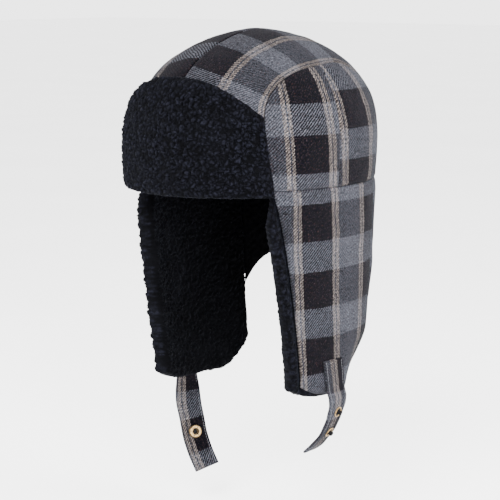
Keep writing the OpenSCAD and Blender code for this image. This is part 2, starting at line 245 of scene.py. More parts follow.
def plaid_material():
    g = Graph("plaid_twill")
    u, v, _ = g.split(g.place("UV"))
    for per_metre, reach in ((90.0, DRIFT), (700.0, FUZZ)):
        stray_u, stray_v = g.noise(g.join(u, v), per_metre), g.noise(g.join(v, u), per_metre)
        u = g.math("ADD", u, g.math("MULTIPLY", g.math("SUBTRACT", stray_u, 0.5), reach))
        v = g.math("ADD", v, g.math("MULTIPLY", g.math("SUBTRACT", stray_v, 0.5), reach))
    a, b = g.math("DIVIDE", u, THREAD), g.math("DIVIDE", v, THREAD)
    warp, weft = g.math("FLOOR", a), g.math("FLOOR", b)
    over = g.math("LESS_THAN", g.math("FRACT", g.math("DIVIDE", g.math("SUBTRACT", warp, weft), 4.0)), 0.49)

    column_at = g.math("FRACT", g.math("DIVIDE", g.math("MULTIPLY", warp, THREAD), COLUMN_REPEAT))
    band_at = g.math("FRACT", g.math("DIVIDE", g.math("MULTIPLY", weft, THREAD), BAND_REPEAT))
    first, second = BLACK_COLUMN / COLUMN_REPEAT, 1 - STRIPE / COLUMN_REPEAT
    share = STRIPE / COLUMN_REPEAT
    column = g.steps(column_at, [
        (0, THREAD_BLACK),
        (first, THREAD_BEIGE), (first + PAIR_START * share, THREAD_GREY), (first + PAIR_END * share, THREAD_BEIGE),
        (first + share, THREAD_GREY),
        (second, THREAD_BEIGE), (second + PAIR_START * share, THREAD_GREY), (second + PAIR_END * share, THREAD_BEIGE),
    ])
    band = g.steps(band_at, [(0, THREAD_BLACK), (BLACK_BAND / BAND_REPEAT, THREAD_GREY)])
    slub = g.span(g.noise(g.join(g.math("MULTIPLY", u, 0.25), v), 900.0), 0.60, 0.68)
    band = g.mix(g.math("MULTIPLY", slub, 0.45), band, g.mix(0.5, band, THREAD_RUST))
    woven = g.mix(over, band, column)

    cloth = g.join(u, v)
    felt = g.noise(cloth, 1100.0, 3.0, 0.7)
    woven = g.mix(g.span(felt, 0.40, 0.75, 0.0, 0.6), woven, g.mix(0.5, band, column))
    threads = g.math("ADD", g.random(warp), g.random(g.math("ADD", weft, 0.37)))
    tone = g.span(threads, 0.0, 2.0, 0.80, 1.20)
    tone = g.math("MULTIPLY", tone, g.span(g.noise(cloth, 1500.0, 2.0), 0.3, 0.7, 0.60, 1.40))
    tone = g.math("MULTIPLY", tone, g.span(g.noise(cloth, 45.0, 3.0), 0.3, 0.7, 0.90, 1.10))
    # The twill ridges are painted lighter and darker along the diagonal: painted shade, not a colour of the yarn.
    twill_ridge_shade = g.math("PINGPONG", g.math("DIVIDE", g.math("SUBTRACT", a, b), 2.0), 1.0)
    tone = g.math("MULTIPLY", tone, g.span(twill_ridge_shade, 0.1, 0.9, 0.40, 1.60))
    tone = g.math("MULTIPLY", tone, g.span(g.noise(cloth, 520.0, 3.0, 0.8), 0.36, 0.64, 0.30, 1.75))
    fleck = g.span(g.noise(g.join(v, u), 600.0, 2.0, 0.8), 0.52, 0.66, 0.0, 0.26)
    woven = g.mix(fleck, woven, g.mix(0.5, THREAD_GREY, THREAD_RUST))

    # Each visible thread is painted darker toward its edges: painted shade in the gaps between threads.
    across_warp = g.math("ABSOLUTE", g.math("SUBTRACT", g.math("FRACT", a), 0.5))
    across_weft = g.math("ABSOLUTE", g.math("SUBTRACT", g.math("FRACT", b), 0.5))
    weft_edge = g.math("MULTIPLY", g.math("SUBTRACT", 1.0, over), across_weft)
    edge = g.math("ADD", g.math("MULTIPLY", over, across_warp), weft_edge)
    height = g.math("SUBTRACT", 1.0, g.math("MULTIPLY", g.math("MULTIPLY", edge, edge), 4.0))
    shade = g.math("MULTIPLY", tone, g.span(height, 0.0, 0.8, 0.55, 1.0))
    colour = g.mix(1.0, woven, g.join(shade, shade, shade), "MULTIPLY")
    normal = g.bump(g.math("ADD", g.math("MULTIPLY", height, 0.6), felt), 0.35 * MM, 0.8)
    return g.finish(Base_Color=colour, Roughness=0.92, Normal=normal, Specular_IOR_Level=0.03,
                    Sheen_Weight=0.01, Sheen_Roughness=0.5, Sheen_Tint=(0.75, 0.80, 0.95))


def pile_material():
    g = Graph("curly_pile")
    place = g.place()
    tuft = g.attribute("tuft")
    curl = g.noise(place, 620.0, 3.0, 0.75)
    # Tuft tops are painted lighter and the hollows between them darker: painted highlight and painted shade.
    lit = g.math("MULTIPLY", g.span(tuft, 0.25, 0.95), g.span(curl, 0.38, 0.64, 0.10, 1.25))
    colour = g.mix(lit, (0.0003, 0.0003, 0.0005), (0.0056, 0.0059, 0.0098))
    colour = g.mix(g.span(g.noise(place, 35.0, 2.0), 0.35, 0.7, 0.0, 0.3), colour, (0.0016, 0.0017, 0.0024))
    normal = g.bump(g.noise(place, 1500.0, 3.0, 0.7), 0.6 * MM, 0.9)
    return g.finish(Base_Color=colour, Roughness=0.85, Normal=normal, Specular_IOR_Level=0.02,
                    Sheen_Weight=0.01, Sheen_Roughness=0.38, Sheen_Tint=(0.55, 0.62, 0.85))


def metal_material():
    g = Graph("pale_brass")
    place = g.place()
    worn = g.noise(place, 700.0, 4.0, 0.6)
    colour = g.mix(g.span(worn, 0.4, 0.65), (0.25, 0.165, 0.070), (0.12, 0.075, 0.032))
    return g.finish(Base_Color=colour, Metallic=1.0, Roughness=g.span(worn, 0.3, 0.7, 0.34, 0.50),
                    Normal=g.bump(worn, 0.03 * MM, 0.5))


# Near-black for the snaps' holes, groove, recesses and the stud's post and disc: painted shade where these parts sit in
# shadow.
def snap_shade_material():
    g = Graph("snap_painted_shade")
    worn = g.noise(g.place(), 900.0, 3.0)
    return g.finish(Base_Color=g.mix(worn, (0.0006, 0.0006, 0.0008), (0.0030, 0.0028, 0.0030)),
                    Roughness=g.span(worn, 0.3, 0.7, 0.45, 0.65), Normal=g.bump(worn, 0.02 * MM, 0.4),
                    Specular_IOR_Level=0.05)


LABEL_RIB, LABEL_ROW = 0.5 * MM, 3.2 * MM


def label_material():
    """White tape with rows of plain dashes. It carries no letters."""
    g = Graph("label_tape")
    u, v, _ = g.split(g.place("UV"))
    ribs = g.math("PINGPONG", g.math("DIVIDE", v, LABEL_RIB), 0.5)
    row = g.math("FLOOR", g.math("DIVIDE", v, LABEL_ROW))
    in_row = g.math("LESS_THAN", g.math("FRACT", g.math("DIVIDE", v, LABEL_ROW)), 0.28)
    reach = g.math("LESS_THAN", u, g.span(g.random(row), 0.0, 1.0, 12 * MM, 24 * MM))
    inside = g.math("MULTIPLY", reach, g.math("GREATER_THAN", u, 4 * MM))
    dash = g.math("GREATER_THAN", g.noise(g.join(u, row), 700.0, 0.0), 0.44)
    ink = g.math("MULTIPLY", g.math("MULTIPLY", in_row, inside), dash)
    tone = g.span(g.noise(g.join(u, v), 1500.0), 0.3, 0.7, 0.86, 1.04)
    colour = g.mix(1.0, g.mix(ink, (0.68, 0.67, 0.63), (0.10, 0.10, 0.12)), g.join(tone, tone, tone), "MULTIPLY")
    return g.finish(Base_Color=colour, Roughness=0.6, Normal=g.bump(ribs, 0.1 * MM, 0.6))


def thread_material():
    g = Graph("sewing_thread")
    twist = g.noise(g.place(), 3000.0, 2.0)
    return g.finish(Base_Color=g.mix(twist, (0.020, 0.020, 0.026), (0.075, 0.075, 0.085)), Roughness=0.7,
                    Normal=g.bump(twist, 0.05 * MM, 0.6))


def floor_material():
    g = Graph("studio_floor")
    tone = g.span(g.noise(g.place(), 3.0), 0.3, 0.7, 0.90, 0.93)
    return g.finish(Base_Color=g.join(tone, tone, tone), Roughness=0.9, Specular_IOR_Level=0.1)


PLAID, PILE, METAL, SNAP_SHADE = plaid_material(), pile_material(), metal_material(), snap_shade_material()
LABEL, SEWING = label_material(), thread_material()


def add_piece(name, mesh, material):
    mesh.materials.append(material)
    piece = bpy.data.objects.new(name, mesh)
    scene.collection.objects.link(piece)
    return piece


FLOOR_REACH, FLOOR_GAP = 14, 0.03
floor_z = cad_low.z - FLOOR_GAP
floor_mesh = bpy.data.meshes.new("floor")
floor_mesh.from_pydata([(FLOOR_REACH * x, FLOOR_REACH * y, floor_z) for x, y in ((-1, -1), (1, -1), (1, 1), (-1, 1))],
                       [], [(0, 1, 2, 3)])
floor = add_piece("floor", floor_mesh, floor_material())
floor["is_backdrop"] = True

# ---------------------------------------------------------------- the hat's surface
HALF_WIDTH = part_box("ear_flap_shell_left")[1].x
HALF_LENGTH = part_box("nape_panel")[1].y
CROWN_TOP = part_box("crown_top_left")[1].z
SEAM_FRONT, SEAM_BACK, SIDE_SEAM = 48, 132, 86
ARCH_MIDDLE, ARCH_HALF = (SEAM_FRONT + SEAM_BACK) / 2, (SEAM_BACK - SEAM_FRONT) / 2
CORNER_HEIGHT, RIDGE_HEIGHT, RIDGE_TILT = 62 * MM, 101 * MM, 5 * MM
RISE, ROUND, FULLNESS = 3.9, 1.5, 0.027
NEAR_TOP = 0.999999
TAPER_DEPTH, SIDE_TAPER, BACK_TAPER = 125 * MM, 0.067, -0.013


def crown_share(z):
    """The crown's size at height z, as a share of its size at the brow."""
    t = np.clip(z / CROWN_TOP, 0, NEAR_TOP)
    return (1 - t ** RISE) ** (1 / ROUND) * (1 + FULLNESS * np.sin(np.pi * t))


def crown_slope(z):
    t = np.clip(z / CROWN_TOP, 0, NEAR_TOP)
    return (1 - t ** RISE) ** (2 / ROUND - 1) * RISE * t ** (RISE - 1) / ROUND / CROWN_TOP


def skirt_share(angle, z):
    """The same below the brow, where the nape and the flaps draw in toward the neck."""
    depth = np.clip(-z, 0, None) / TAPER_DEPTH
    return 1 - (SIDE_TAPER + BACK_TAPER * np.clip((np.abs(angle) - 70) / 60, 0, 1)) * depth ** 1.5


def hat_normal(angle, z):
    """Directions out of the hat's surface."""
    a = np.radians(angle)
    share = np.where(z > 0, crown_share(z), skirt_share(angle, z))
    rise = np.where(z > 0, crown_slope(z), 0)
    n = np.stack([share * np.sin(a) / HALF_WIDTH, -share * np.cos(a) / HALF_LENGTH, rise], -1)
    return n / np.linalg.norm(n, axis=-1, keepdims=True)


def hat(angle, z, off=0.0):
    """Points of the hat: angle in degrees round the head from the forehead, height z, and off outward."""
    angle, z, off = np.broadcast_arrays(np.asarray(angle, float), np.asarray(z, float), np.asarray(off, float))
    a = np.radians(angle)
    share = np.where(z > 0, crown_share(z), skirt_share(angle, z))
    p = np.stack([HALF_WIDTH * share * np.sin(a), -HALF_LENGTH * share * np.cos(a), z], -1)
    return p + off[..., None] * hat_normal(angle, z)


BROW_ANGLES = np.linspace(-270, 270, 5401)
brow = hat(BROW_ANGLES, 0 * BROW_ANGLES)
BROW_ARC = np.concatenate([[0], np.cumsum(np.linalg.norm(np.diff(brow, axis=0), axis=1))])
BROW_ARC -= np.interp(0, BROW_ANGLES, BROW_ARC)


def arc(angle):
    """Length along the brow from the forehead."""
    return np.interp(angle, BROW_ANGLES, BROW_ARC)


def mix(a, b, t):
    return a + (b - a) * t


def smooth(t):
    t = np.clip(t, 0, 1)
    return t * t * (3 - 2 * t)


def rounded(distance, width):
    """Rises from 0 at an edge to 1 at width from it, as a quarter of an ellipse."""
    t = np.clip(distance / width, 0, 1)
    return np.sqrt(np.clip(1 - (1 - t) ** 2, 0, 1))


def spaced(length, step, edge=(0.12, 0.35, 0.7, 1.2, 2.0)):
    """Shares from 0 to 1 along a length, closer together at both ends. edge is in millimetres."""
    near = np.array([0, *edge]) * MM
    count = max(2, int(round((length - 2 * near[-1]) / step)) + 1)
    middle = np.linspace(near[-1], length - near[-1], count)
    return np.concatenate([near[:-1], middle, length - near[-2::-1]]) / length


def edge_distances(p):
    """How far each point of a grid is from its first and last column and its first and last row."""
    along, up = (np.cumsum(np.linalg.norm(np.diff(p, axis=k), axis=-1), axis=k) for k in (1, 0))
    along = np.concatenate([np.zeros((p.shape[0], 1)), along], 1)
    up = np.concatenate([np.zeros((1, p.shape[1])), up], 0)
    return along, along[:, -1:] - along, up, up[-1:] - up


def ripple(points, size, seed):
    """Smooth noise from about -1 to 1 at every point of a grid."""
    shift = Vector((seed * 3.17, seed * 1.71, seed * 2.39))
    flat = points.reshape(-1, 3) / size
    return np.array([noise.noise(Vector(p) + shift) for p in flat]).reshape(points.shape[:-1])


def tufts(points, size, seed):
    """A curly pile: the height of its tufts from 0 to 1, and a sideways lean, at every point of a grid."""
    shift = Vector((seed * 5.3, seed * 2.1, seed * 7.7))
    height, lean = [], []
    for p in points.reshape(-1, 3) / size:
        p = Vector(p) + shift
        q = p + noise.noise_vector(p * 0.9) * 0.7
        distances, cells = noise.voronoi(q)
        crease = 1 - math.exp(-3.6 * (distances[1] - distances[0]))
        fine, _ = noise.voronoi(q * 2.3 + shift)
        height.append(0.78 * crease * (1 - 0.6 * distances[0] ** 2) + 0.22 * (1 - fine[0]))
        lean.append(noise.noise_vector(cells[0] * 3.1))
    shape = points.shape[:-1]
    return np.clip(np.array(height), 0, 1).reshape(shape), np.array(lean).reshape(*shape, 3)


BACK_TUFT = 0.3


def solid(name, outer, inner, uv, material, open_first=False, tuft=None):
    """A closed piece between two grids that share their border.

    open_first: the first columns don't meet, and a flat wall closes them. tuft is the height of the pile.
    """
    rows, columns = outer.shape[:2]
    first = np.arange(rows * columns).reshape(rows, columns)
    second = first + rows * columns
    second[0], second[-1], second[:, -1] = first[0], first[-1], first[:, -1]
    if not open_first:
        second[:, 0] = first[:, 0]

    def quads(grid):
        return np.stack([grid[:-1, :-1], grid[:-1, 1:], grid[1:, 1:], grid[1:, :-1]], -1).reshape(-1, 4)

    faces = [quads(first), quads(second)[:, ::-1]]
    wall = np.zeros((0, 4), int)
    if open_first:
        wall = np.stack([first[1:, 0], second[1:, 0], second[:-1, 0], first[:-1, 0]], -1)[:, ::-1]
    faces = np.concatenate([*faces, wall])
    points = np.concatenate([outer.reshape(-1, 3), inner.reshape(-1, 3)])
    texture = np.concatenate([uv.reshape(-1, 2)] * 2)
    tuft = np.zeros(len(points)) if tuft is None else np.concatenate([tuft.ravel(), BACK_TUFT * tuft.ravel()])
    a, b, c, d = (points[faces[:, k]] for k in range(4))
    volume = np.einsum("ij,ij->", a, np.cross(b, c)) + np.einsum("ij,ij->", a, np.cross(c, d))
    if volume < 0:
        faces = faces[:, ::-1]
    used, faces = np.unique(faces, return_inverse=True)
    faces = faces.reshape(-1, 4)
    mesh = bpy.data.meshes.new(name)
    ends = [tuple(dict.fromkeys(f)) for f in faces.tolist()]
    mesh.from_pydata(points[used].tolist(), [], ends)
    layer = mesh.uv_layers.new(name="cloth")
    loops = np.zeros(len(mesh.loops), int)
    mesh.loops.foreach_get("vertex_index", loops)
    layer.data.foreach_set("uv", texture[used][loops].astype(np.float32).ravel())
    attribute = mesh.attributes.new("tuft", "FLOAT", "POINT")
    attribute.data.foreach_set("value", tuft[used].astype(np.float32))
    mesh.shade_smooth()
    if open_first:
        sharp = mesh.attributes.get("sharp_face") or mesh.attributes.new("sharp_face", "BOOLEAN", "FACE")
        flags = np.zeros(len(mesh.polygons), bool)
        flags[-len(wall):] = True
        sharp.data.foreach_set("value", flags)
    return add_piece(name, mesh, material)


def mirrored(points):
    return points * np.array([-1, 1, 1])


# ---------------------------------------------------------------- crown
CLOTH_IN, LINING_OUT, LINING_IN = -5.7 * MM, -6.0 * MM, -10.5 * MM
SEAM_DEPTH = 2.2 * MM
SEAM_ROUND = 3.2 * MM
PUFF_BORDER, PUFF_LIFT = 0.012, 0.3 * MM
CLOTH_STEP = 1.6 * MM


def ridge_height(angle):
    """The height of the side seam's arch, over the ear."""
    s = np.clip((angle - ARCH_MIDDLE) / ARCH_HALF, -1, 1)
    arch = np.sqrt(np.clip(1 - np.abs(s) ** 3, 0, 1))
    return mix(CORNER_HEIGHT, RIDGE_HEIGHT, arch) + RIDGE_TILT * s * (1 - s * s)


def arch_angle(t):
    """Angles along the side seam's arch, closer together at its ends, where it is steep."""
    return ARCH_MIDDLE - ARCH_HALF * np.cos(np.pi * t)


# SIDE_SHARE is where the seam between the two side panels meets the arch. UPRIGHT is the share of a top panel's
# edge that stands upright at each end.
SIDE_SHARE = math.acos((ARCH_MIDDLE - SIDE_SEAM) / ARCH_HALF) / math.pi
UPRIGHT = 4 / 18


def seam(q):
    """Angle and height along the side seam, from the forehead's brow to the nape's."""
    t = np.clip((q - UPRIGHT) / (1 - 2 * UPRIGHT), 0, 1)
    angle = arch_angle(t)
    rise = np.clip(np.minimum(q, 1 - q) / UPRIGHT, 0, 1)
    return angle, np.where(rise < 1, CORNER_HEIGHT * rise, ridge_height(angle))


def disc_radius(z):
    """The crown laid flat as a disc: how far out of its centre height z lies. disc_height is the way back."""
    return 1 - (2 / np.pi * np.arcsin(np.clip(z / CROWN_TOP, 0, 1) ** (RISE / 2))) ** (2 / 3)


def disc_height(radius):
    return CROWN_TOP * np.sin(np.pi / 2 * np.clip(1 - radius, 0, 1) ** 1.5) ** (2 / RISE)


def top_grid(q, v):
    """Angles and heights of the left top panel: q from front to back, v from the centre seam to the side seam."""
    q, v = np.meshgrid(q, v, indexing="ij")
    angle, z = seam(q)
    edge = disc_radius(z)[..., None] * np.stack([np.sin(np.radians(angle)), -np.cos(np.radians(angle))], -1)
    corner = math.radians(SEAM_FRONT)
    sideways, forward = np.sin(v * corner) - v * math.sin(corner), -np.cos(v * corner) + mix(1, math.cos(corner), v)
    bulge = np.stack([sideways, forward], -1)
    centre = np.stack([0 * q, 2 * q - 1], -1)
    d = mix(centre, edge, v[..., None]) + (1 - q)[..., None] * bulge + q[..., None] * bulge * np.array([1, -1])
    return np.degrees(np.arctan2(d[..., 0], -d[..., 1])), disc_height(np.hypot(d[..., 0], d[..., 1]))


def puff(p, seed):
    """The unevenness of padded cloth, in three sizes."""
    waves = ((1.1, 0.045, seed), (0.55, 0.018, seed + 5), (0.22, 0.008, seed + 9))
    return MM * sum(height * ripple(p, size, wave_seed) for height, size, wave_seed in waves)


def cloth_pad(name, angle, z, uv, side, seed, outer=0.0, inner=CLOTH_IN):
    """A padded panel of the plaid with rounded, sunken edges."""
    base = hat(angle, z)
    border = np.minimum.reduce(edge_distances(base))
    edge = rounded(border, SEAM_ROUND)
    soft = smooth(border / PUFF_BORDER)
    meet = outer - SEAM_DEPTH
    bulge = outer + soft * (PUFF_LIFT + puff(base, seed)) - meet
    out = hat(angle, z, meet + bulge * edge)
    inn = hat(angle, z, meet + (inner - meet) * edge)
    if side < 0:
        out, inn = mirrored(out), mirrored(inn)
    return solid(name, out, inn, uv, PLAID)


TOP_Q, TOP_V = spaced(0.430, 1.8 * MM), spaced(0.080, CLOTH_STEP)
for side, word, shift in ((1, "left", 20.0), (-1, "right", 41.0)):
    angle, z = top_grid(TOP_Q, TOP_V)
    p = hat(angle, z)
    up = edge_distances(p)[2]
    along = np.repeat(up[:, len(TOP_V) // 2][:, None], len(TOP_V), 1)
    uv = np.stack([np.broadcast_to(TOP_V * COLUMN_REPEAT, z.shape), along + shift * MM], -1)
    piece = cloth_pad(f"top_cloth_{word}", angle, z, uv, side, 1 + side)
    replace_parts(piece, f"crown_top_{word}", f"wadding_top_{word}")
    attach(piece, "crown")

# The plaid of each side panel: it leans by LEAN, and column, scale and band lay its stripes. The right side's is
# shifted, because the cloth was cut elsewhere.
LEAN = 0.078
RIGHT_SHIFT = (21 * MM, 17 * MM)
for side, word in ((1, "left"), (-1, "right")):
    for place, first, last, column, scale, band in (
        ("front", 0.0, SIDE_SHARE, 110.2, 0.93, 13.2),
        ("back", SIDE_SHARE, 1.0, 168.0, 0.90, -9.3),
    ):
        columns, rows = spaced(0.068, CLOTH_STEP), spaced(0.100, CLOTH_STEP)
        angle = np.broadcast_to(arch_angle(mix(first, last, columns)), (len(rows), len(columns)))
        z = ridge_height(angle) * rows[:, None]
        u = (arc(angle) + LEAN * z - column * MM) * scale
        v = z - band * MM
        if side < 0:
            u, v = u + RIGHT_SHIFT[0], v + RIGHT_SHIFT[1]
        seed = 7 + side + (place == "back") * 3
        piece = cloth_pad(f"side_cloth_{place}_{word}", angle, z, np.stack([u, v], -1), side, seed)
        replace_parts(piece, f"crown_side_{place}_{word}", *([f"wadding_side_{word}"] if place == "front" else []))
        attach(piece, "crown")


CROWN_LEAN, CROWN_CURL = 0.8 * MM, 1.3 * MM


def crown_fleece():
    """The pile lining of the crown, one dome with a rolled lower edge."""
    turns, rings, last_level = 300, 70, 0.985
    angle, level = np.meshgrid(np.linspace(0, 360, turns, endpoint=False), np.linspace(0, last_level, rings))
    z = disc_height(1 - level)
    height, lean = tufts(hat(angle, z, LINING_IN), 4.2 * MM, 11)
    roll = rounded(z, 5 * MM)
    middle = (LINING_OUT + LINING_IN) / 2
    outer = hat(angle, z, mix(middle, LINING_OUT, roll))
    curls = CROWN_LEAN * lean - hat_normal(angle, z) * (CROWN_CURL * height[..., None])
    inner = hat(angle, z, mix(middle, LINING_IN, roll)) + curls * roll[..., None]
    points = np.concatenate([outer.reshape(-1, 3), inner.reshape(-1, 3),
                             [[0, 0, CROWN_TOP + LINING_OUT], [0, 0, CROWN_TOP + LINING_IN]]])
    count = turns * rings
    faces = []
    for layer in (0, 1):
        for r in range(rings - 1):
            for c in range(turns):
                a, b = r * turns + c, r * turns + (c + 1) % turns
                if layer and r == 0:
                    quad = (a, b, b + turns + count, a + turns + count)
                else:
                    quad = tuple(k + layer * count for k in (a, b, b + turns, a + turns))
                faces.append(quad[::-1] if layer else quad)
        top = (rings - 1) * turns + layer * count
        for c in range(turns):
            fan = (top + c, top + (c + 1) % turns, 2 * count + layer)
            faces.append(fan[::-1] if layer else fan)
    used = sorted({k for face in faces for k in face})
    number = {k: i for i, k in enumerate(used)}
    mesh = bpy.data.meshes.new("crown_fleece")
    mesh.from_pydata(points[used].tolist(), [], [tuple(number[k] for k in face) for face in faces])
    tuft = np.concatenate([0 * height.ravel(), height.ravel(), [0.5, 0.5]])
    mesh.attributes.new("tuft", "FLOAT", "POINT").data.foreach_set("value", tuft[used].astype(np.float32))
    mesh.shade_smooth()
    return add_piece("crown_fleece", mesh, PILE)


piece = crown_fleece()
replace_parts(piece, "lining_top_left", "lining_top_right", "lining_side_left", "lining_side_right")
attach(piece, "crown")


# ---------------------------------------------------------------- pile pads
PILE_LEAN, PILE_SUNK = 0.9 * MM, 0.3


def pile_pad(name, place, normals, outer, inner, side, seed, edge_width,
             size=3.7 * MM, high=3.2 * MM, faces_out=True, open_first=False, fringe=None):
    """A pad of curly pile. place(off) gives its grid, and outer and inner are its offsets.

    The curls are on its outer side, or on its inner one. They are about size wide and up to high tall. Where
    fringe is above 0, up to 1, the other side has curls too.
    """
    distances = edge_distances(place(outer))
    edge = rounded(np.minimum.reduce(distances[1:] if open_first else distances), edge_width)
    meet = (outer + inner) / 2
    out, inn = place(mix(meet, outer, edge)), place(mix(meet, inner, edge))
    curled, back, way = (out, inn, 1) if faces_out else (inn, out, -1)
    if side < 0:
        curled, back, normals = mirrored(curled), mirrored(back), mirrored(normals)
    height, lean = tufts(curled, size, seed)
    reach = (0.65 + 0.35 * edge)[..., None]
    moved = curled + reach * (way * normals * high * (height[..., None] - PILE_SUNK) + PILE_LEAN * lean)
    if open_first:
        moved[:, 0, 0] = 0
    if fringe is not None:
        back_height, back_lean = tufts(back, size, seed + 3)
        back_curls = way * normals * high * back_height[..., None] + PILE_LEAN * back_lean
        back = back - (reach * fringe[..., None]) * back_curls
    rim = np.zeros(curled.shape[:2], bool)
    rim[0], rim[-1], rim[:, -1] = True, True, True
    if not open_first:
        rim[:, 0] = True
    back = np.where(rim[..., None], moved, back)
    out, inn = (moved, back) if faces_out else (back, moved)
    return solid(name, out, inn, np.zeros((*height.shape, 2)), PILE, open_first, height)


# ---------------------------------------------------------------- visor
VISOR_TOP = 87 * MM
VISOR_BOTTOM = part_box("visor_pile")[0].z
CORNER_DROP, VISOR_HALF_ANGLE, VISOR_TAPER = 28 * MM, 50.5, 5
VISOR_CLOTH_IN, VISOR_CLOTH_OUT = 1.2 * MM, 5.9 * MM
VISOR_PILE_IN, VISOR_PILE, VISOR_PILE_EDGE = 6.2 * MM, 6 * MM, 2 * MM
VISOR_ROUND, VISOR_PLAID_SHIFT = 2 * MM, 12 * MM
WING_BEND, WING_BEND_Z = (10, 34), 0.04


def visor_grid(share, v, grow=0.0):
    """Angles and heights of the visor's left half: share from its middle to its side edge, v up."""
    share, v = np.meshgrid(share, v)
    angle = share * (VISOR_HALF_ANGLE - VISOR_TAPER * v + grow)
    top = VISOR_TOP - CORNER_DROP * share ** 2.5
    return angle, mix(VISOR_BOTTOM, top, v), share, v


for side, word in ((1, "left"), (-1, "right")):
    start, end = (hat(bend, WING_BEND_Z) for bend in WING_BEND)
    if side < 0:
        start, end = mirrored(start), mirrored(end)

    angle, z, _, _ = visor_grid(spaced(0.090, CLOTH_STEP), spaced(0.095, CLOTH_STEP))
    edge = rounded(np.minimum.reduce(edge_distances(hat(angle, z, VISOR_CLOTH_IN))[1:]), VISOR_ROUND)
    meet = (VISOR_CLOTH_IN + VISOR_CLOTH_OUT) / 2
    out, inn = hat(angle, z, mix(meet, VISOR_CLOTH_OUT, edge)), hat(angle, z, mix(meet, VISOR_CLOTH_IN, edge))
    if side < 0:
        out, inn = mirrored(out), mirrored(inn)
    uv = np.stack([side * arc(angle) + VISOR_PLAID_SHIFT, z], -1)
    piece = solid(f"visor_cloth_{word}", out, inn, uv, PLAID, open_first=True)
    names = ["visor_shell", "visor_wadding"] if side > 0 else []
    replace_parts(piece, *names, f"visor_shell_{word}", f"visor_wadding_{word}")
    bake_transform(piece)
    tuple(start)
    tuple(end)

    step = 0.75 * MM
    angle, z, s, v = visor_grid(np.linspace(0, 1, int(0.092 / step)), np.linspace(0, 1, int(0.098 / step)), 1.0)
    swell = mix(VISOR_PILE_EDGE, VISOR_PILE, (1 - s ** 4) * (1 - np.abs((v - 0.3) / 0.7) ** 1.5))
    piece = pile_pad(f"visor_fleece_{word}", lambda off: hat(angle, z, off), hat_normal(angle, z),
                     VISOR_PILE_IN + swell, VISOR_PILE_IN, side, 21, 4.5 * MM, open_first=True)
    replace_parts(piece, *(["visor_pile"] if side > 0 else []), f"visor_pile_{word}")
    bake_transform(piece)
    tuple(start)
    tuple(end)

# ---------------------------------------------------------------- nape and ear flaps
SPLIT_Y = 61.5 * MM
FLAP_LENGTH, FLAP_FRONT, FLAP_SWEEP, FLAP_FRONT_DEPTH = 179 * MM, 51.4, 17.0, 161 * MM
FLAP_CLOTH_IN, FLAP_PILE_OUT, FLAP_PILE_IN = -4.7 * MM, -5.0 * MM, -13.0 * MM
FRONT_CORNER, BACK_CORNER, BACK_CORNER_SHARE, BACK_CORNER_POWER = 11 * MM, 28 * MM, 0.3, 1.9
CURL_SHARE, CURL_SPAN, CURL_TOP, CURL_DEPTH = 0.4, 0.5, 128 * MM, 46 * MM
BROW_GAP = 0.15 * MM
NAPE_HEIGHT, NAPE_CORNER_DROP = 74 * MM, 34 * MM


def split_angle(z, off, y):
    """Where the surface at height z crosses a plane of constant y: the split between a flap and the nape."""
    return np.degrees(np.arccos(-y / (HALF_LENGTH * skirt_share(SEAM_BACK, z) + off)))


def flap_bottom(u):
    """The height of a flap's lower edge, u from its front to its back. Both corners are rounded."""
    front, back = np.clip(1 - 2 * u, 0, None), np.clip(1 - (1 - u) / BACK_CORNER_SHARE, 0, None)
    return -FLAP_LENGTH + FRONT_CORNER * front ** 3 + BACK_CORNER * back ** BACK_CORNER_POWER


def flap_front(z, over):
    """The angle of a flap's front edge, which sweeps back on its way down."""
    return (FLAP_FRONT + FLAP_SWEEP * np.clip(-z / FLAP_FRONT_DEPTH, 0, 1) ** 0.75
            - over * np.clip(-z / (30 * MM), 0, 1))


def flap_grid(columns, rows, top, off, over=0.0, below=0.0):
    """A flap's angles and heights. over and below are how far its pile shows past the cloth, in degrees and metres."""
    u, v = np.meshgrid(columns, rows)
    z = mix(flap_bottom(u) - below, top, v)
    return mix(flap_front(z, over), split_angle(z, off, SPLIT_Y), u), z, u, v


def curl_in(u, z, side):
    """How far a flap's lower back corner has curled in toward the neck. The left one has curled more."""
    curl = (12 if side > 0 else 1) * MM
    return curl * smooth((u - CURL_SHARE) / CURL_SPAN) * smooth((-z - CURL_TOP) / CURL_DEPTH)


for side, word in ((1, "left"), (-1, "right")):
    start, end = (0, 0, 0), (0, 0, -0.022)
    angle, z, u, _ = flap_grid(spaced(0.130, CLOTH_STEP), spaced(0.178, CLOTH_STEP), -BROW_GAP, 0)
    column, band = (114.5, 13.2) if side > 0 else (96.0, 31.0)
    uv = np.stack([arc(angle) * skirt_share(angle, z) - column * MM, z - band * MM], -1)
    curl = curl_in(u, z, side)
    piece = cloth_pad(f"flap_cloth_{word}", angle, z, uv, side, 31 + side, outer=-curl, inner=FLAP_CLOTH_IN - curl)
    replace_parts(piece, f"ear_flap_shell_{word}", f"ear_flap_wadding_{word}")
    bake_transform(piece)
    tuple(start)
    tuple(end)

    step = 0.9 * MM
    over, below = (7.0, 2 * MM) if side > 0 else (11.5, 6 * MM)
    columns, rows = np.linspace(0, 1, int(0.135 / step)), np.linspace(0, 1, int(0.182 / step))
    angle, z, u, _ = flap_grid(columns, rows, -0.5 * MM, FLAP_PILE_OUT, over, below)
    ahead = smooth((flap_front(z, 0) + 1.5 - angle) / 6)
    curl = curl_in(u, z, side)
    outer = FLAP_PILE_OUT + 4.6 * MM * ahead - curl
    fringe = np.maximum(smooth((flap_front(z, 0) - angle) / 3), smooth((flap_bottom(u) - z) / (3 * MM)))
    piece = pile_pad(f"flap_fleece_{word}", lambda off: hat(angle, z, off), hat_normal(angle, z),
                     outer, FLAP_PILE_IN - curl, side, 41 + side, 5 * MM,
                     size=4.6 * MM, high=4.0 * MM, faces_out=False, fringe=fringe)
    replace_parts(piece, f"ear_flap_lining_{word}")
    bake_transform(piece)
    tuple(start)
    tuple(end)


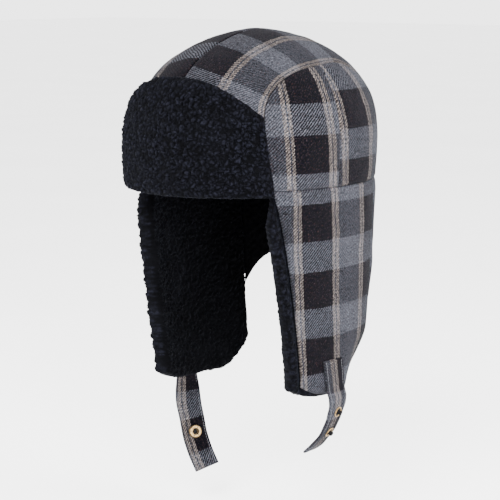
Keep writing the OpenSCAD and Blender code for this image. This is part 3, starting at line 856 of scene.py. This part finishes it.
def nape_grid(columns, rows, off, gap=MM):
    """The nape's angles and heights. gap is how far its sides stay from the flaps."""
    s, v = np.meshgrid(2 * columns - 1, rows)
    z = mix(-NAPE_HEIGHT - NAPE_CORNER_DROP * np.abs(s) ** 5, -BROW_GAP, v)
    return 180 + s * (180 - split_angle(z, off, SPLIT_Y + gap)), z


angle, z = nape_grid(spaced(0.160, CLOTH_STEP), spaced(0.066, CLOTH_STEP), 0)
uv = np.stack([arc(angle) - 20 * MM, z - 4 * MM], -1)
piece = cloth_pad("nape_cloth", angle, z, uv, 1, 51)
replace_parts(piece, "nape_panel", "nape_wadding")
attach(piece, "crown")

angle, z = nape_grid(np.linspace(0, 1, 130), np.linspace(0, 1, 60), LINING_OUT, 0.2 * MM)
piece = pile_pad("nape_fleece", lambda off: hat(angle, z, off), hat_normal(angle, z),
                 LINING_OUT + 0 * z, LINING_IN + 0 * z, 1, 55, 4 * MM, faces_out=False)
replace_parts(piece, "nape_lining")
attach(piece, "crown")

# ---------------------------------------------------------------- straps
STRAP_WIDTH, STRAP_T, TAB_TOP, TAB_END = 24 * MM, 2.4 * MM, -147 * MM, -176 * MM
TAB_LIFT, HANG_SPAN = 1.7 * MM, 0.075
# twist is in degrees, tab is the angle of the sewn part's top and end, and path runs down the hanging part, in
# millimetres. band shifts the plaid.
STRAPS = {
    "left": dict(side=1, twist=-8, tab=(86.0, 89.8), pace=0.8, band=31 * MM, path=[
        (86.5, 3, -181), (85.5, 3, -192), (81, 2.7, -204.5), (75, 2.2, -215), (67, 2, -224.5), (58.5, 1.7, -232.5)]),
    "right": dict(side=-1, twist=30, tab=(90.5, 91.0), pace=0.62, band=0, path=[
        (-87, 3, -182), (-86.5, 3, -196), (-85, 3, -212), (-81.5, 3.6, -228), (-78.2, 4.2, -243),
        (-72.8, 5.2, -258), (-64.5, 6.2, -273.5)]),
}
TWIST_SHARE, ALONG_STEP = 0.33, 0.01


def path_point(path, t):
    """A point on a smooth curve through the points of path, t from 0 to 1."""
    last = len(path) - 1
    i = min(last - 1, int(t * last))
    f = t * last - i
    p1, p2 = path[i], path[i + 1]
    p0 = path[i - 1] if i else 2 * p1 - p2
    p3 = path[i + 2] if i < last - 1 else 2 * p2 - p1
    return (2 * p1 + (p2 - p0) * f + (2 * p0 - 5 * p1 + 4 * p2 - p3) * f * f + (3 * p1 - p0 - 3 * p2 + p3) * f ** 3) / 2


def strap_frame(strap, t):
    """A point on a hanging strap, and the directions along it, across it and out of its outer face."""
    path = [np.array(p) * MM for p in strap["path"]]
    along = path_point(path, min(1, t + ALONG_STEP)) - path_point(path, max(0, t - ALONG_STEP))
    along /= np.linalg.norm(along)
    turn = math.radians(strap["twist"] * min(1, t / TWIST_SHARE))
    across = np.array([-math.sin(turn), -math.cos(turn), 0])
    across -= across.dot(along) * along
    across /= np.linalg.norm(across)
    return path_point(path, t), along, across, strap["side"] * np.cross(across, along)


def strap_rows(strap, step):
    """Frames down the whole strap: its sewn tab, then its hanging part."""
    rows = []
    for z in np.arange(TAB_TOP, TAB_END, -step):
        share = (z - TAB_TOP) / (TAB_END - TAB_TOP)
        angle = mix(strap["tab"][0], strap["tab"][1], share)
        p, n = hat(angle, z, TAB_LIFT), hat_normal(angle, np.array(z))
        if strap["side"] < 0:
            p, n = mirrored(p), mirrored(n)
        across = np.cross([0, 0, -1.0], n) * strap["side"]
        rows.append([p, across / np.linalg.norm(across), n])
    for t in np.arange(0, 1 + 1e-6, step / HANG_SPAN * strap["pace"]):
        p, _, across, out = strap_frame(strap, min(t, 1))
        rows.append([p, across, out])
    points, across, out = (np.array([r[k] for r in rows]) for k in range(3))
    for _ in range(3):
        points[1:-1] = (points[:-2] + 2 * points[1:-1] + points[2:]) / 4
    return points, across, out


def run_length(line):
    """Length along a line of points, from its start to each of them."""
    return np.concatenate([[0], np.cumsum(np.linalg.norm(np.diff(line, axis=0), axis=1))])


def stitch_row(name, points, across, out, place, pitch=2.6 * MM, length=2.0 * MM, radius=0.22 * MM):
    """Stitches along a line on a strap, one mesh. place is (share across, offset out)."""
    rings, turns = 5, 6
    line = points + across * place[0] * STRAP_WIDTH + out * place[1]
    run = run_length(line)
    vertices, faces = [], []
    for start in np.arange(0.5 * pitch, run[-1] - pitch, pitch):
        base = len(vertices)
        for f in np.linspace(0, 1, rings):
            s = start + f * length
            p, a, o = (np.array([np.interp(s, run, values[:, j]) for j in range(3)]) for values in (line, across, out))
            r = radius * (0.35 + 0.65 * math.sin(math.pi * (0.12 + 0.76 * f)))
            for turn in np.linspace(0, 2 * math.pi, turns, endpoint=False):
                vertices.append(tuple(p + a * r * math.cos(turn) + o * r * math.sin(turn)))
        for k in range(rings - 1):
            for c in range(turns):
                a, b = base + k * turns + c, base + k * turns + (c + 1) % turns
                faces.append((a, b, b + turns, a + turns))
        faces.append(tuple(base + c for c in reversed(range(turns))))
        faces.append(tuple(base + (rings - 1) * turns + c for c in range(turns)))
    mesh = bpy.data.meshes.new(name)
    mesh.from_pydata(vertices, [], faces)
    mesh.shade_smooth()
    return add_piece(name, mesh, SEWING)


SNAPS_AT = {"left": (0.24, 0.56), "right": (0.64,)}
STRAP_STEP = 1.1 * MM
STITCH_SHARE, STITCH_INSET = 0.40, 2.4 * MM
STITCH_DEPTH, GROOVE, PUCKER = 0.12 * MM, 0.35 * MM, 0.35 * MM
for word, strap in STRAPS.items():
    side = strap["side"]
    points, across, out = strap_rows(strap, STRAP_STEP)
    run = run_length(points)
    w = spaced(STRAP_WIDTH, STRAP_STEP, (0.1, 0.3, 0.7)) - 0.5
    centre = points[:, None] + across[:, None] * (w * STRAP_WIDTH)[None, :, None]
    normals = np.broadcast_to(out[:, None], centre.shape)
    left, right, low, high = edge_distances(centre)
    edge = rounded(np.minimum.reduce([left, right, low, high]), 1.1 * MM)
    from_stitches = np.minimum(left, right) - STITCH_INSET
    groove = GROOVE * np.exp(-(from_stitches / (0.6 * MM)) ** 2)
    pucker = PUCKER * ripple(centre, 0.006, 60 + side) * np.exp(-(from_stitches / (2.5 * MM)) ** 2)
    hang = smooth((run - 0.03) / 0.02)[:, None]
    wave = hang * (1.1 * MM * ripple(centre, 0.022, 64 + side)) + 0.3 * MM * ripple(centre, 0.010, 66 + side)
    for t in SNAPS_AT[word]:
        at = strap_frame(strap, t)[0]
        near = np.linalg.norm(centre - at, axis=-1)
        wave = wave * smooth((near - 4 * MM) / (8 * MM))
    half = STRAP_T / 2
    outer = centre + normals * (wave + (half - groove + pucker) * edge)[..., None]
    inner = centre + normals * (wave - (half - groove - pucker) * edge)[..., None]
    share = np.broadcast_to(w[None, :], edge.shape)
    stripe_at = COLUMN_REPEAT - STRIPE / 2
    u = BLACK_COLUMN + STRIPE / 2 + share * STRAP_WIDTH if side > 0 else stripe_at + (0.3 - share) * STRAP_WIDTH
    v = np.broadcast_to(-run[:, None], edge.shape) + strap["band"]
    piece = solid(f"strap_cloth_{word}", outer, inner, np.stack([u, v], -1), PLAID)
    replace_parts(piece, f"strap_{word}", f"strap_tab_{word}")
    pivot = Vector(next(j for j in frame["joints"] if j["child"] == f"strap_{word}")["pos_m"])
    start, end = pivot + Vector((0, 0, 0.003)), pivot - Vector((0, 0, 0.014))
    rows = []
    for k, (edge_side, face) in enumerate(((1, 1), (-1, 1), (1, -1), (-1, -1))):
        place = (edge_side * STITCH_SHARE, face * (half - STITCH_DEPTH))
        rows.append(stitch_row(f"strap_stitches_{word}_{k + 1}", points, across, out, place))
    for stitches in rows:
        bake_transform(stitches)
        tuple(start)
        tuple(end)
    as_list(rows)
    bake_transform(piece)
    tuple(start)
    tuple(end)


# ---------------------------------------------------------------- snaps
def lathe(name, profile, place, material, body, turns=72):
    """A turned piece. profile is [(radius, height), ...] in millimetres from the axis and back to it."""
    vertices, faces = [], []
    inside = [p for p in profile if p[0] > 0]
    for r, h in inside:
        for k in range(turns):
            a = 2 * math.pi * k / turns
            vertices.append((r * MM * math.cos(a), r * MM * math.sin(a), h * MM))
    closed = profile[0][0] > 0
    count = len(inside)
    for k in range(count if closed else count - 1):
        for c in range(turns):
            a, b = k * turns + c, k * turns + (c + 1) % turns
            up = ((k + 1) % count - k) * turns
            faces.append((a, b, b + up, a + up))
    if not closed:
        faces.append(tuple(range(turns))[::-1])
        faces.append(tuple((count - 1) * turns + k for k in range(turns)))
    mesh = bpy.data.meshes.new(name)
    mesh.from_pydata(vertices, [], faces)
    mesh.transform(place)
    mesh.validate()
    mesh.shade_smooth()
    mesh.set_sharp_from_angle(angle=math.radians(35))
    piece = add_piece(name, mesh, material)
    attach(piece, body)
    return piece


SNAP_LIFT = 0.5 * MM


def on_strap(word, t, face):
    """The place of a snap part on a strap's outer face (1) or inner face (-1)."""
    p, along, _, out = strap_frame(STRAPS[word], t)
    z = face * out
    p = p + z * (STRAP_T / 2 + SNAP_LIFT)
    columns = along, np.cross(z, along), z, p
    return Matrix([*([column[k] for column in columns] for k in range(3)), (0, 0, 0, 1)])


STUD_POST = [(0, 0.55), (2.9, 0.55), (2.75, 0.75), (2.15, 0.95), (2.0, 1.3), (1.9, 2.3), (2.0, 2.9), (1.98, 3.3),
             (1.7, 3.65), (1.2, 3.8), (0, 3.8)]
STUD_RIM = [(3.6, 0.1), (4.6, 0.1), (4.75, 0.35), (4.6, 0.75), (4.25, 0.92), (3.85, 0.80), (3.6, 0.5)]
STUD_DISC = [(0, 0.05), (3.75, 0.05), (3.75, 0.45), (2.5, 0.6), (0, 0.6)]
SNAP_BACK = [(0, 0), (5.0, 0), (5.2, 0.2), (5.1, 0.6), (4.5, 0.9), (3.0, 1.0), (0, 1.0)]
for word, t in (("upper", SNAPS_AT["left"][0]), ("lower", SNAPS_AT["left"][1])):
    place = on_strap("left", t, 1)
    # The stud's post and disc are near-black: painted shade, standing in for the shadow on the stud.
    post = lathe(f"stud_post_{word}", STUD_POST, place, SNAP_SHADE, "strap_left")
    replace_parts(post, f"stud_{word}")
    lathe(f"stud_rim_{word}", STUD_RIM, place, METAL, "strap_left")
    lathe(f"stud_disc_{word}", STUD_DISC, place, SNAP_SHADE, "strap_left")
    back = lathe(f"stud_back_{word}", SNAP_BACK, on_strap("left", t, -1), METAL, "strap_left")
    if word == "upper":
        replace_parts(back, "stud_backs")

SOCKET = [(0, 0), (5.3, 0), (5.9, 0.25), (6.0, 1.0), (5.95, 2.0), (5.6, 2.75), (5.0, 3.0), (4.2, 2.9), (3.2, 2.95),
          (2.5, 2.9), (2.15, 2.7), (2.1, 2.3), (2.1, 1.4), (3.0, 1.4), (3.0, 0.6), (0, 0.6)]
SOCKET_GROOVE = [(5.35, 2.80), (5.55, 2.72), (5.75, 2.62), (5.72, 2.80), (5.45, 2.98), (5.32, 2.95)]
SOCKET_WELL = [(0, 0.62), (2.05, 0.62), (2.05, 0.75), (0, 0.75)]
SOCKET_MOUTH = [(2.14, 2.80), (2.5, 2.93), (3.15, 2.97), (3.15, 3.06), (2.4, 3.04), (2.12, 2.9)]
SPRING_RADIUS, SPRING_WIRE, SPRING_HEIGHT = 2.55, 0.25, 1.0
SPRING = [(SPRING_RADIUS + SPRING_WIRE * math.cos(a), SPRING_HEIGHT + SPRING_WIRE * math.sin(a))
          for a in np.linspace(0, 2 * math.pi, 12, endpoint=False)]
PRONG = [(0, 2.6), (0.42, 2.6), (0.42, 2.93), (0.3, 3.0), (0, 3.0)]
PRONGS, PRONG_TURN, PRONG_RADIUS = 6, 0.4, 3.75 * MM
socket_at = SNAPS_AT["right"][0]
place = on_strap("right", socket_at, -1)
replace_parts(lathe("socket_ring", SOCKET, place, METAL, "strap_right"), "snap_socket")
# The outer groove, the well at the bottom of the hole, the hole's rim and the six prong dots are near-black: painted
# shade in these recesses and holes.
lathe("socket_edge", SOCKET_GROOVE, place, SNAP_SHADE, "strap_right")
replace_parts(lathe("socket_wire", SPRING, place, METAL, "strap_right"), "socket_spring")
lathe("socket_well", SOCKET_WELL, place, SNAP_SHADE, "strap_right")
lathe("socket_mouth", SOCKET_MOUTH, place, SNAP_SHADE, "strap_right")
for k in range(PRONGS):
    turn = Matrix.Rotation(k * math.pi / 3 + PRONG_TURN, 4, "Z") @ Matrix.Translation((PRONG_RADIUS, 0, 0))
    lathe(f"socket_prong_{k + 1}", PRONG, place @ turn, SNAP_SHADE, "strap_right", turns=20)
cap = lathe("socket_cap", SNAP_BACK, on_strap("right", socket_at, 1), METAL, "strap_right")
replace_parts(cap, "socket_back")

# ---------------------------------------------------------------- label
low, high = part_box("care_label")
LABEL_WIDTH, LABEL_HEIGHT = high.x - low.x, high.z - low.z
LABEL_STEP, LABEL_T = 1.5 * MM, 0.5 * MM
share, level = np.meshgrid(spaced(LABEL_WIDTH, LABEL_STEP, (0.1,)), spaced(LABEL_HEIGHT, LABEL_STEP, (0.1,)))
x, z = mix(low.x, high.x, share), mix(low.z, high.z, level)
curl = 0.9 * MM * np.sin(2.2 * level + 0.5) * (1 - level) + 0.3 * MM * np.sin(3 * share)
face = np.stack([x, low.y + curl, z], -1)
edge = rounded(np.minimum.reduce([share, 1 - share, level, 1 - level]), 0.02)
back = face + np.stack([0 * x, LABEL_T * edge, 0 * x], -1)
uv = np.stack([(1 - share) * LABEL_WIDTH, level * LABEL_HEIGHT], -1)
piece = solid("care_label_tape", face, back, uv, LABEL)
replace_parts(piece, "care_label")
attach(piece, "crown")

low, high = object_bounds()
